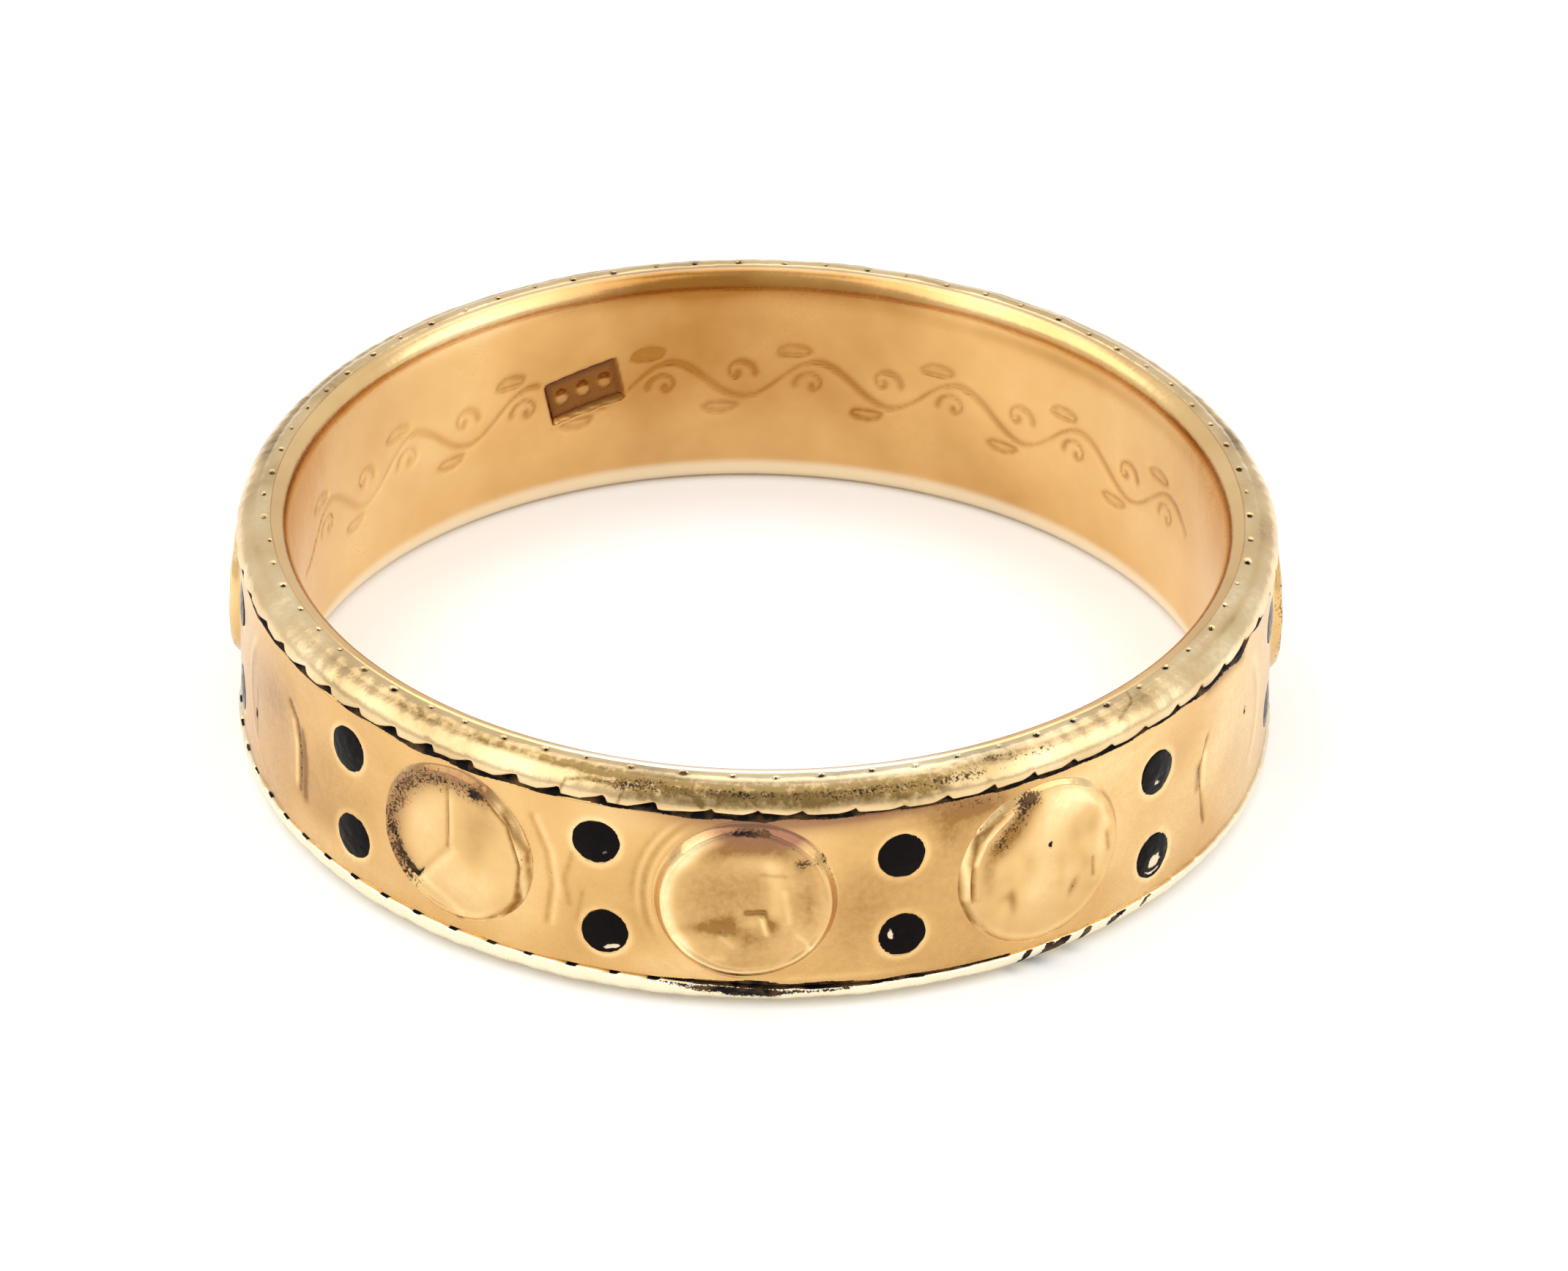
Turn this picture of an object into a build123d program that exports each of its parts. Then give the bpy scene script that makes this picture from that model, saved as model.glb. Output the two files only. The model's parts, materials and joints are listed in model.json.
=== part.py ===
from build123d import *
import math
import os

# A gold mourning ring lying on its side, in millimetres.
# The ring's axis is vertical (Z), the side that faces the viewer is towards -Y,
# and the origin is on the floor under the middle of the ring.
# Sections are drawn as (radius, height above the middle of the band).

# Driving dimensions
BORE_RADIUS = 8.75            # finger size about 17.5 mm across
FACE_RADIUS = 9.70            # outer face of the plain panel
HALF_HEIGHT = 2.36            # middle of the band to the crown of an edge
REPEATS = 11                  # medallions round the ring, a pair of dots after each
LOBES_PER_REPEAT = 6          # worn turns of the twisted border in one repeat

# Inner lip, rounded between the bore and the flat crown that the ring rests on
BORE_HALF_LENGTH = 1.90
CROWN_INNER_RADIUS = 9.12
CROWN_OUTER_RADIUS = 9.17

# Twisted border, worn to a low curved band between the crown and the crevice
BORDER_INNER_RADIUS = 9.23
BORDER_INNER_HEIGHT = 2.345
BORDER_OUTER_RADIUS = 9.73
BORDER_OUTER_HEIGHT = 1.84
BORDER_CURVE = 0.62
INNER_GROOVE_DEPTH = 0.05

# Crevice between the border and the panel
CREVICE_HEIGHT = 1.80
CREVICE_WIDTH = 0.09
CREVICE_DEPTH = 0.22

# Notches between the turns, cut upwards from the crevice, one side steep
NOTCH_LENGTH = 0.42
NOTCH_RISE = 0.21
NOTCH_DEPTH = 0.20
NOTCH_LEAN = 0.04

# Small pits between the turns on the inner side of the border
PIT_RADIUS = 0.075
PIT_DEPTH = 0.14

# Medallions, flat coins with a raised rim and a low crowned field
MEDALLION_RADIUS = 1.65
MEDALLION_BASE = 9.20         # buried in the wall of the band
MEDALLION_RIM = 9.83
MEDALLION_RIM_WIDTH = 0.17
MEDALLION_RIM_ROUND = 0.06
MEDALLION_FIELD_EDGE = 9.755
MEDALLION_FIELD_CENTRE = 9.80

# Enamel dots, in round cells one above the other
DOT_RADIUS = 0.425
DOT_HEIGHT = 0.93             # above and below the middle of the band
DOT_GAP = 0.02                # all round the enamel and under it
CELL_FLOOR = 9.25
DOT_SHOULDER = 9.685
DOT_CROWN = 9.73

# Worked out from the driving dimensions
REPEAT_ANGLE = 360 / REPEATS
LOBE_ANGLE = REPEAT_ANGLE / LOBES_PER_REPEAT
LOBE_COUNT = REPEATS * LOBES_PER_REPEAT
BEYOND_FACE = FACE_RADIUS + 0.5

# Local X runs along the band, local Y up, and local Z outwards
FRONT = Plane(origin=(0, 0, 0), x_dir=(1, 0, 0), z_dir=(0, -1, 0))


def turned(shape, degrees):
    """The shape, carried round the ring's axis."""
    return Rot(0, 0, degrees) * shape


def facing_front(shape):
    """A shape drawn outwards along Z, laid on the side of the ring at -Y."""
    return FRONT.location * shape


def half_section_points():
    """Corners of the upper half of the band's section, from the bore to the face."""
    groove_radius = (CROWN_OUTER_RADIUS + BORDER_INNER_RADIUS) / 2
    return {
        "bore_middle": (BORE_RADIUS, 0),
        "bore_end": (BORE_RADIUS, BORE_HALF_LENGTH),
        "crown_inner": (CROWN_INNER_RADIUS, HALF_HEIGHT),
        "crown_outer": (CROWN_OUTER_RADIUS, HALF_HEIGHT),
        "groove": (groove_radius, HALF_HEIGHT - INNER_GROOVE_DEPTH),
        "border_inner": (BORDER_INNER_RADIUS, BORDER_INNER_HEIGHT),
        "border_outer": (BORDER_OUTER_RADIUS, BORDER_OUTER_HEIGHT),
        "crevice": (FACE_RADIUS - CREVICE_DEPTH, CREVICE_HEIGHT),
        "face_edge": (FACE_RADIUS, CREVICE_HEIGHT - CREVICE_WIDTH / 2),
        "face_middle": (FACE_RADIUS, 0),
    }


def dome_arc(radius, low, high):
    """A crown centred on its own axis, from the rim at low to the top at high."""
    rise = high - low
    curve = (radius ** 2 + rise ** 2) / (2 * rise)
    half_angle = math.degrees(math.asin(radius / curve))
    return CenterArc((0, high - curve), curve, 90 - half_angle, half_angle)


def lip_middle():
    """The point half way round the lip, a quarter of an ellipse."""
    across = CROWN_INNER_RADIUS - BORE_RADIUS
    up = HALF_HEIGHT - BORE_HALF_LENGTH
    diagonal = math.sqrt(0.5)
    return (CROWN_INNER_RADIUS - across * diagonal, BORE_HALF_LENGTH + up * diagonal)


def plain_band():
    """The band without its ornament, turned from one section."""
    at = half_section_points()
    upper = [
        Line(at["bore_middle"], at["bore_end"]),
        ThreePointArc(at["bore_end"], lip_middle(), at["crown_inner"]),
        Line(at["crown_inner"], at["crown_outer"]),
        Line(at["crown_outer"], at["groove"]),
        Line(at["groove"], at["border_inner"]),
        RadiusArc(at["border_inner"], at["border_outer"], BORDER_CURVE),
        Line(at["border_outer"], at["crevice"]),
        Line(at["crevice"], at["face_edge"]),
        Line(at["face_edge"], at["face_middle"]),
    ]
    lower = [edge.mirror(Plane.XZ) for edge in upper]
    return revolve(Plane.XZ * make_face(upper + lower), axis=Axis.Z, revolution_arc=360)


def medallion():
    """One coin at the front, turned about its own axis."""
    rim_inner = MEDALLION_RADIUS - MEDALLION_RIM_WIDTH
    shoulder = MEDALLION_RIM - MEDALLION_RIM_ROUND
    rim_crown = ((MEDALLION_RADIUS + rim_inner) / 2, MEDALLION_RIM)
    outline = make_face([
        Line((0, MEDALLION_BASE), (MEDALLION_RADIUS, MEDALLION_BASE)),
        Line((MEDALLION_RADIUS, MEDALLION_BASE), (MEDALLION_RADIUS, shoulder)),
        ThreePointArc((MEDALLION_RADIUS, shoulder), rim_crown, (rim_inner, MEDALLION_FIELD_EDGE)),
        dome_arc(rim_inner, MEDALLION_FIELD_EDGE, MEDALLION_FIELD_CENTRE),
        Line((0, MEDALLION_FIELD_CENTRE), (0, MEDALLION_BASE)),
    ])
    return facing_front(revolve(Plane.XZ * outline, axis=Axis.Z, revolution_arc=360))


def dot_cell(height):
    """The round cell cut for one enamel dot."""
    cell = Cylinder(DOT_RADIUS + DOT_GAP, BEYOND_FACE - CELL_FLOOR,
                    align=(Align.CENTER, Align.CENTER, Align.MIN))
    return facing_front(Pos(0, height, CELL_FLOOR) * cell)


def enamel_dot(height):
    """One plug of enamel with a slightly domed face."""
    floor = CELL_FLOOR + DOT_GAP
    outline = make_face([
        Line((0, floor), (DOT_RADIUS, floor)),
        Line((DOT_RADIUS, floor), (DOT_RADIUS, DOT_SHOULDER)),
        dome_arc(DOT_RADIUS, DOT_SHOULDER, DOT_CROWN),
        Line((0, DOT_CROWN), (0, floor)),
    ])
    plug = revolve(Plane.XZ * outline, axis=Axis.Z, revolution_arc=360)
    return facing_front(Pos(0, height, 0) * plug)


def border_notch():
    """The wedge between two turns of the upper border, open at the crevice."""
    foot = CREVICE_HEIGHT
    wedge = make_face(Polyline(
        (-NOTCH_LENGTH, foot), (NOTCH_LEAN, foot), (0, foot + NOTCH_RISE), close=True))
    inside = FACE_RADIUS - NOTCH_DEPTH
    return facing_front(Pos(0, 0, inside) * extrude(wedge, amount=BEYOND_FACE - inside))


def border_pit():
    """The small pit between two turns on the inner side of the upper border."""
    pit = Cone(0, 2 * PIT_RADIUS, 2 * PIT_DEPTH, align=(Align.CENTER, Align.CENTER, Align.MIN))
    return Pos(0, -BORDER_INNER_RADIUS, HALF_HEIGHT - PIT_DEPTH) * pit


def both_edges(shape):
    """A shape of the upper edge and its mirror image at the lower edge."""
    return [shape, mirror(shape, about=Plane.XY)]


def dot_angles():
    """The pairs of dots stand half way between the medallions."""
    return [(index + 0.5) * REPEAT_ANGLE for index in range(REPEATS)]


def band():
    """The whole gold band, one soldered solid."""
    coins = [turned(medallion(), index * REPEAT_ANGLE) for index in range(REPEATS)]
    body = plain_band().fuse(*coins)
    cutters = []
    for angle in dot_angles():
        cutters += [turned(dot_cell(side * DOT_HEIGHT), angle) for side in (1, -1)]
    for index in range(LOBE_COUNT):
        angle = (index + 0.5) * LOBE_ANGLE
        for cutter in both_edges(border_notch()) + both_edges(border_pit()):
            cutters.append(turned(cutter, angle))
    return body.cut(*cutters)


def lifted(shape):
    """The shape raised so that the lower edge of the ring stands on the floor."""
    return Pos(0, 0, HALF_HEIGHT) * shape


def main():
    os.makedirs("parts", exist_ok=True)
    export_step(lifted(band()), "parts/band.step")
    number = 0
    for angle in dot_angles():
        for side in (1, -1):
            number += 1
            dot = turned(enamel_dot(side * DOT_HEIGHT), angle)
            export_step(lifted(dot), f"parts/enamel_dot_{number:02d}.step")


main()
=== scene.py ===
import json
import math

import bpy
import numpy as np
from mathutils import Matrix, Vector
from mathutils.kdtree import KDTree


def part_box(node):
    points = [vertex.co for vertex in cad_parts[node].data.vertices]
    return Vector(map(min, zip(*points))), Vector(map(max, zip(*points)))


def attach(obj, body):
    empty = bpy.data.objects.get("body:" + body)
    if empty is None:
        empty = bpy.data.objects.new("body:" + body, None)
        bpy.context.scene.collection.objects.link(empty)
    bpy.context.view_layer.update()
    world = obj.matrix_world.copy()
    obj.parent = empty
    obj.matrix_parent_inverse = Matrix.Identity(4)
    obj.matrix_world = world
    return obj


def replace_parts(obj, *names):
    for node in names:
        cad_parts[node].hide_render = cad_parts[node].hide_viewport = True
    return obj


# Looks for the mourning ring. Lengths are in millimetres until a mesh is made,
# angles go round the ring from its front (-Y) towards +X, and heights on the
# band are counted from its middle.

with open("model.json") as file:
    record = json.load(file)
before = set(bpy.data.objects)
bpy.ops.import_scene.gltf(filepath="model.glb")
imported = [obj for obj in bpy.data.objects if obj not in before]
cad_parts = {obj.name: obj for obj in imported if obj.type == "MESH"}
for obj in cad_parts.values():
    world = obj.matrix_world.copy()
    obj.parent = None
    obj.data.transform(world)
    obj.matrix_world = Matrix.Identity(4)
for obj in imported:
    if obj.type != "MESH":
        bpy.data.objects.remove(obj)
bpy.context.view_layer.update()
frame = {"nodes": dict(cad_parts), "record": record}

MM = 0.001
BODY = "root"
SEED = 1837

# Sizes taken from the frame
band_low, band_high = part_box("band")
MIDDLE = (band_low.z + band_high.z) / 2 / MM
HALF_HEIGHT = (band_high.z - band_low.z) / 2 / MM
MOUNTS = {mount["name"]: mount for mount in frame["record"]["mounts"]}
BORE_RADIUS = MOUNTS["finger_bore"]["dims"]["r_mm"]
BORE_HALF_LENGTH = MOUNTS["finger_bore"]["dims"]["length_mm"] / 2

# Sizes of the section, as in the solids
FACE_RADIUS = 9.70
CREVICE_HEIGHT = 1.80
REPEATS = 11
UPPER_LOBES = 70
LOWER_LOBES = 75
REPEAT = 2 * math.pi / REPEATS
DOT_RADIUS = 0.425

# Radii behind the surfaces, where their backs are hidden in the metal
INNER_BACK = 9.25
OUTER_BACK = 9.42
COIN_BACK = 9.35
DOT_BACK = 9.4
# Nothing stands further out than these
COIN_TOP = 9.83
DOT_TOP = 9.735

# How finely the surfaces are divided: columns go round, rows go across
PANEL_COLUMNS = 1400
PANEL_ROWS = 60
BORDER_COLUMNS = 1320
BORDER_ROWS = 34
LINING_COLUMNS = 1100
LINING_ROWS = 56
FINE_COIN = (240, 64)
PLAIN_COIN = (110, 30)
DOT_SPOKES = 64


def smooth(low, high, value):
    """A smooth step from 0 at low to 1 at high."""
    t = np.clip((value - low) / (high - low), 0, 1)
    return t * t * (3 - 2 * t)


def bump_at(value, centre, width):
    """A bell of height 1 round a centre."""
    return np.exp(-((value - centre) / width) ** 2)


def wrapped(angle):
    """Angles brought to the half turn either side of the front."""
    return (angle + math.pi) % (2 * math.pi) - math.pi


def rotated(x, y, angle):
    """Places seen from axes that are turned by an angle."""
    turn_c, turn_s = math.cos(angle), math.sin(angle)
    return x * turn_c + y * turn_s, y * turn_c - x * turn_s


def round_ring(columns):
    """Angles from the back, round the front, to the back again."""
    return np.linspace(-math.pi, math.pi, columns, endpoint=False)[:, None]


def past(angle, centre):
    """How far round the face of the ring a place lies from a centre, in millimetres."""
    return wrapped(angle - centre) * FACE_RADIUS


def ripple(angle, height, seed, waves=9, highest=40):
    """A gentle unevenness of about plus or minus 1 that closes round the ring."""
    rng = np.random.default_rng(SEED + seed)
    total = np.zeros(np.broadcast(angle, height).shape)
    for _ in range(waves):
        turns = rng.integers(2, highest)
        slope = rng.uniform(-2.5, 2.5)
        phase = rng.uniform(0, 2 * math.pi)
        total = total + np.sin(turns * angle + slope * height + phase)
    return total / math.sqrt(waves)


def placed(radius, angle, height):
    """Points in metres from radius, angle and height on the band."""
    points = np.stack(np.broadcast_arrays(
        radius * np.sin(angle), -radius * np.cos(angle), height + MIDDLE), -1)
    return points * MM


def new_mesh(name, points, faces, values):
    """A smooth-shaded mesh object with named values on its points."""
    mesh = bpy.data.meshes.new(name)
    mesh.from_pydata(points.reshape(-1, 3).tolist(), [], faces)
    mesh.polygons.foreach_set("use_smooth", [True] * len(mesh.polygons))
    for key, value in values.items():
        attribute = mesh.attributes.new(key, "FLOAT", "POINT")
        attribute.data.foreach_set("value", np.ascontiguousarray(value, np.float32).ravel())
    mesh.update()
    piece = bpy.data.objects.new(name, mesh)
    bpy.context.scene.collection.objects.link(piece)
    return piece


def ring_piece(name, points, values):
    """A closed surface whose rows go round a section and whose columns go round the ring."""
    columns, rows = points.shape[:2]
    index = np.arange(columns * rows).reshape(columns, rows)
    beside = np.roll(index, -1, 0)
    quads = np.stack([index, beside, np.roll(beside, -1, 1), np.roll(index, -1, 1)], -1)
    return new_mesh(name, points, quads.reshape(-1, 4).tolist(), values)


def dressed(piece, material, slot, *nodes):
    """The piece gets its material, rides with the ring and stands for its nodes."""
    piece.data.materials.append(material)
    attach(piece, BODY)
    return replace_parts(piece, *nodes)


# Shader nodes

class Shader:
    """A material's node tree, with short ways to add to it."""

    def __init__(self, name):
        self.material = bpy.data.materials.new(name)
        self.material.use_nodes = True
        self.tree = self.material.node_tree
        self.surface = self.tree.nodes["Principled BSDF"]
        self.millimetres = self.scaled((1 / MM,) * 3)

    def add(self, kind, inputs=None, **settings):
        node = self.tree.nodes.new(kind)
        for key, value in settings.items():
            setattr(node, key, value)
        for key, value in (inputs or {}).items():
            self.plug(node.inputs[key], value)
        return node

    def plug(self, socket, value):
        """Link an output to a socket, or set the socket to a number or colour."""
        if isinstance(value, bpy.types.NodeSocket):
            self.tree.links.new(value, socket)
        else:
            socket.default_value = value

    def scaled(self, scale):
        """Places on the object, stretched by a scale."""
        where = self.add("ShaderNodeTexCoord").outputs["Object"]
        return self.add("ShaderNodeMapping", {"Vector": where, "Scale": scale}).outputs["Vector"]

    def noise(self, scale, detail=2.0, roughness=0.5, where=None):
        inputs = {"Vector": where or self.millimetres, "Scale": scale, "Detail": detail,
                  "Roughness": roughness}
        return self.add("ShaderNodeTexNoise", inputs).outputs["Fac"]

    def value(self, name):
        return self.add("ShaderNodeAttribute", attribute_name=name).outputs["Fac"]

    def math(self, operation, first, second=0.0):
        return self.add("ShaderNodeMath", {0: first, 1: second}, operation=operation).outputs[0]

    def ranged(self, value, low, high, to_low=0.0, to_high=1.0):
        inputs = {"Value": value, "From Min": low, "From Max": high,
                  "To Min": to_low, "To Max": to_high}
        return self.add("ShaderNodeMapRange", inputs).outputs["Result"]

    def blend(self, share, first, second):
        inputs = {0: share, 6: first, 7: second}
        return self.add("ShaderNodeMix", inputs, data_type="RGBA").outputs[2]

    def bump(self, height, depth, normal=None):
        inputs = {"Height": height, "Distance": depth * MM, "Strength": 1.0}
        if normal is not None:
            inputs["Normal"] = normal
        return self.add("ShaderNodeBump", inputs).outputs["Normal"]

    def connect(self, **sockets):
        for key, value in sockets.items():
            self.plug(self.surface.inputs[key.replace("_", " ")], value)
        return self.material


def gold(name, base, deep, pale, polish, streaks=0.0, grain=1.0, mottle=0.2,
         stained=(0.27, 0.13, 0.075)):
    """Worn gold in three shades, with tarnish, stains, dark soiling, painted shade and painted highlights
    where the mesh says.

    Polish is the roughness, streaks and grain are the depths of the scratches and
    the unevenness, and mottle is how far the shades vary from place to place.
    """
    shader = Shader(name)
    cloud = shader.noise(0.5, 3.0, 0.55)
    drift = shader.ranged(cloud, 0.3, 0.7, -0.2, 0.2)
    uneven = shader.ranged(shader.noise(7.0, 3.0, 0.6), 0.35, 0.65, 1 - mottle, 1 + mottle)
    # The tone value holds tarnish together with painted shade and painted highlights.
    marks = shader.math("MULTIPLY", shader.value("tone"), uneven)
    tone = shader.ranged(shader.math("ADD", marks, drift), -1.0, 1.0)
    ramp = shader.add("ShaderNodeValToRGB", {"Fac": tone})
    ramp.color_ramp.elements[0].color = (*deep, 1)
    ramp.color_ramp.elements[1].color = (*pale, 1)
    ramp.color_ramp.elements.new(0.5).color = (*base, 1)
    # The pale value paints highlights and reflections.
    with_highlights = shader.blend(shader.value("pale"), ramp.outputs["Color"], (1.0, 0.91, 0.7, 1))
    stain = shader.math("MULTIPLY", shader.value("stain"), 0.8)
    colour = shader.blend(stain, with_highlights, (*stained, 1))

    # The dark mask paints dirt, and also the shade in crevices and gaps, as a dark non-metal.
    speckle = shader.noise(19.0, 2.0, 0.7)
    patches = shader.noise(3.0, 2.0, 0.5)
    edge = shader.math("ADD", shader.math("MULTIPLY", speckle, 1.3),
                       shader.math("MULTIPLY", patches, 0.5))
    dirt_and_shade = shader.ranged(shader.math("ADD", shader.value("grime_and_shade"), edge), 1.3, 1.5)
    brown = shader.ranged(patches, 0.45, 0.7)
    dirt_and_shade_colour = shader.blend(brown, (0.003, 0.0015, 0.001, 1), (0.125, 0.065, 0.022, 1))
    colour = shader.blend(dirt_and_shade, colour, dirt_and_shade_colour)

    fine = shader.noise(22.0, 2.0, 0.6)
    shine = shader.math("ADD", shader.ranged(cloud, 0.3, 0.7, -0.03, 0.05),
                        shader.ranged(fine, 0.3, 0.7, -0.03, 0.05))
    rough = shader.math("ADD", shine, polish)
    rough = shader.math("ADD", rough, shader.math("MULTIPLY", dirt_and_shade, 0.4))
    metal = shader.math("SUBTRACT", 1.0, shader.math("MULTIPLY", dirt_and_shade, 0.9))

    soft = shader.bump(shader.noise(2.2, 3.0, 0.5), 0.012 * grain)
    worn = shader.bump(shader.noise(9.0, 2.0, 0.5), 0.0025 * grain, soft)
    across = shader.noise(1.0, 3.0, 0.6, shader.scaled((700, 700, 26000)))
    brushed = shader.bump(across, 0.003 * streaks, worn)
    return shader.connect(Base_Color=colour, Roughness=rough, Metallic=metal, Normal=brushed,
                          Specular_IOR_Level=0.15)


def enamel():
    """Near-black glass, glossy, with a few dull scuffs, pale flaked spots and painted pale glints."""
    shader = Shader("black_enamel")
    # This mask marks both places where the enamel has flaked off and painted glints.
    chip_and_glint = shader.ranged(shader.math("ADD", shader.value("chip_and_glint"), shader.noise(9.0, 2.0)), 0.9, 1.1)
    tint = shader.blend(shader.noise(3.5), (0.0004, 0.0004, 0.0004, 1), (0.005, 0.0022, 0.0015, 1))
    tone = shader.blend(chip_and_glint, tint, (0.8, 0.66, 0.46, 1))
    scuff = shader.ranged(shader.noise(7.0, 3.0), 0.45, 0.7, 0.08, 0.3)
    rough = shader.math("ADD", scuff, shader.math("MULTIPLY", chip_and_glint, 0.2))
    pits = shader.bump(shader.noise(6.0, 2.0), 0.016)
    return shader.connect(Base_Color=tone, Roughness=rough, Normal=pits, IOR=1.2, Specular_IOR_Level=0.3)


# Marks of wear, and of painted shade and highlights, painted or pressed into a surface. Each takes places
# on the surface in millimetres and gives 1 on the mark, fading to 0 beside it.

def spot(x, y, middle_x, middle_y, wide, tall, turn=0):
    """A soft oval, turned by some degrees."""
    along, across = rotated(x - middle_x, y - middle_y, math.radians(turn))
    return np.exp(-(along / wide) ** 2 - (across / tall) ** 2)


def block(x, y, start, end, fade):
    """The stretch between two places along x."""
    return smooth(start - fade, start + fade, x) * (1 - smooth(end - fade, end + fade, x)) + 0 * y


def arc(x, y, radius, width, start, end, middle_x=0, middle_y=0):
    """Part of a ring, between two angles in degrees, counted from +X to +Y."""
    x, y = x - middle_x, y - middle_y
    side = np.degrees(np.arctan2(y, x))
    centre, half, fade = (start + end) / 2, (end - start) / 2, 9
    away = np.abs((side - centre + 180) % 360 - 180)
    return bump_at(np.hypot(x, y), radius, width) * (1 - smooth(half - fade, half + fade, away))


def line(x, y, width, *points):
    """A line through some points."""
    nearest = np.full(np.broadcast(x, y).shape, 9.0)
    for (x0, y0), (x1, y1) in zip(points, points[1:]):
        run, rise = x1 - x0, y1 - y0
        share = ((x - x0) * run + (y - y0) * rise) / (run * run + rise * rise)
        share = np.clip(share, 0, 1)
        away = np.hypot(x - x0 - share * run, y - y0 - share * rise)
        nearest = np.minimum(nearest, away)
    return np.exp(-(nearest / width) ** 2)


def marked(x, y, marks):
    """The sum of some marks, each with its strength, kind and numbers."""
    total = np.zeros(np.broadcast(x, y).shape)
    for strength, kind, *numbers in marks:
        total += strength * kind(x, y, *numbers)
    return total


# The plain panel between the borders. Marks are placed along its front, x from
# the middle of the front and y from the middle of the band.

# Among tarnish marks, this list paints light and shade: the darker stretch right of the front coin is
# painted shade, the paired dark and pale lines and arcs paint the shade and highlights of the small ridges,
# and the dark marks along the top edge are painted shade and dirt at the crevice.
PANEL_TONE = [
    (-0.32, block, 1.5, 4.6, 0.5), (-0.25, spot, -1.9, -0.2, 0.5, 1.3),
    (-0.1, spot, -3.2, 0.2, 0.9, 1.6), (0.1, spot, -4.4, 0.2, 0.6, 1.6),
    (-0.25, spot, -11.4, 0.2, 1.5, 1.8), (-0.35, spot, -9.3, 0.3, 1.6, 1.6),
    (0.35, spot, 7.4, 0, 1.8, 2), (0.5, spot, 11.6, 0, 2.2, 2), (0.35, spot, 6.9, 1.4, 1.2, 0.4),
    (0.4, spot, -8.6, -1.5, 1.6, 0.35), (0.35, spot, -1.6, -1.5, 0.8, 0.3),
    (-0.7, spot, 1.5, 1.75, 2.6, 0.12), (0.35, spot, 1.6, -1.7, 1.7, 0.07),
    (-0.3, arc, 1.97, 0.06, 130, 205), (0.4, arc, 1.86, 0.05, 130, 205),
    (0.35, arc, 2.07, 0.05, 130, 195), (-0.25, arc, 2.18, 0.05, 140, 180),
    (-0.5, line, 0.06, (-4.1, 1.2), (-3.8, 0.5), (-3.7, -0.2), (-3.8, -1)),
    (0.35, line, 0.06, (-3.98, 1.2), (-3.67, 0.5), (-3.57, -0.2), (-3.67, -1)),
    (-0.4, line, 0.06, (-3.3, 0.6), (-3.45, 0), (-3.35, -0.5)),
    (-0.3, line, 0.05, (-3.1, -0.2), (-3.2, -0.8), (-3, -1.3)),
    (-1, line, 0.16, (10, 1.72), (10.6, 1.7), (11.4, 1.62)),
    (-0.8, spot, 4.1, 1.5, 0.9, 0.22), (-0.5, spot, 3.6, 1.1, 0.3, 0.4),
]
# Dirt marks, with painted shade at the crevice along the top edge.
PANEL_GRIME_AND_SHADE = [
    (0.3, spot, 1.3, 1.74, 1.8, 0.06), (0.44, spot, 4.1, 1.62, 0.8, 0.14),
    (0.55, line, 0.09, (10, 1.73), (10.6, 1.74), (11.3, 1.68)),
    (0.26, spot, -3.75, -0.2, 0.18, 0.5), (0.26, spot, -1.9, 0.3, 0.12, 0.3),
]
PANEL_STAIN = [
    (1.2, spot, 0.3, 1.72, 1.9, 0.28), (0.6, spot, 2.2, 1.74, 1.8, 0.14),
    (0.4, spot, 4.1, 1.55, 0.8, 0.2),
]


# Where the dark line beside a border, painted shade and dirt in the crevice, is wider: by how much, at
# which degrees, and how far to each side
UPPER_GAPS = ((0.06, -34, 9), (0.09, -1, 9), (0.03, 36, 12), (0.12, 67, 12), (0.08, -72, 14),
              (-0.02, 14, 4))
LOWER_GAPS = ((0.09, 3, 9), (0.035, 18, 9))


def crevice(degrees, side):
    """Width of the dark line beside a border, painted shade and dirt in the crevice, in millimetres."""
    places = UPPER_GAPS if side > 0 else LOWER_GAPS
    wider = sum(width * bump_at(degrees, *place) for width, *place in places)
    return wider + (0.042 if side > 0 else 0.004 + 0.02 * smooth(75, 100, np.abs(degrees)))


def drop(degrees):
    """How much lower the lower border sits, right of the front."""
    return 0.09 * smooth(-8, 12, degrees) * (1 - smooth(70, 100, degrees))


def flush_marks(angle, height, kind):
    """Marks of one kind on the two medallions that lie flush with the panel: worn marks, painted shade and
    painted highlights.
    """
    total = np.zeros(np.broadcast(angle, height).shape)
    for number, wear_and_shading in FLUSH_COINS.items():
        x = past(angle, coin_angles()[number]) + FLUSH_SHIFT
        total += marked(x, height, wear_and_shading[kind])
    return total


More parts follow.
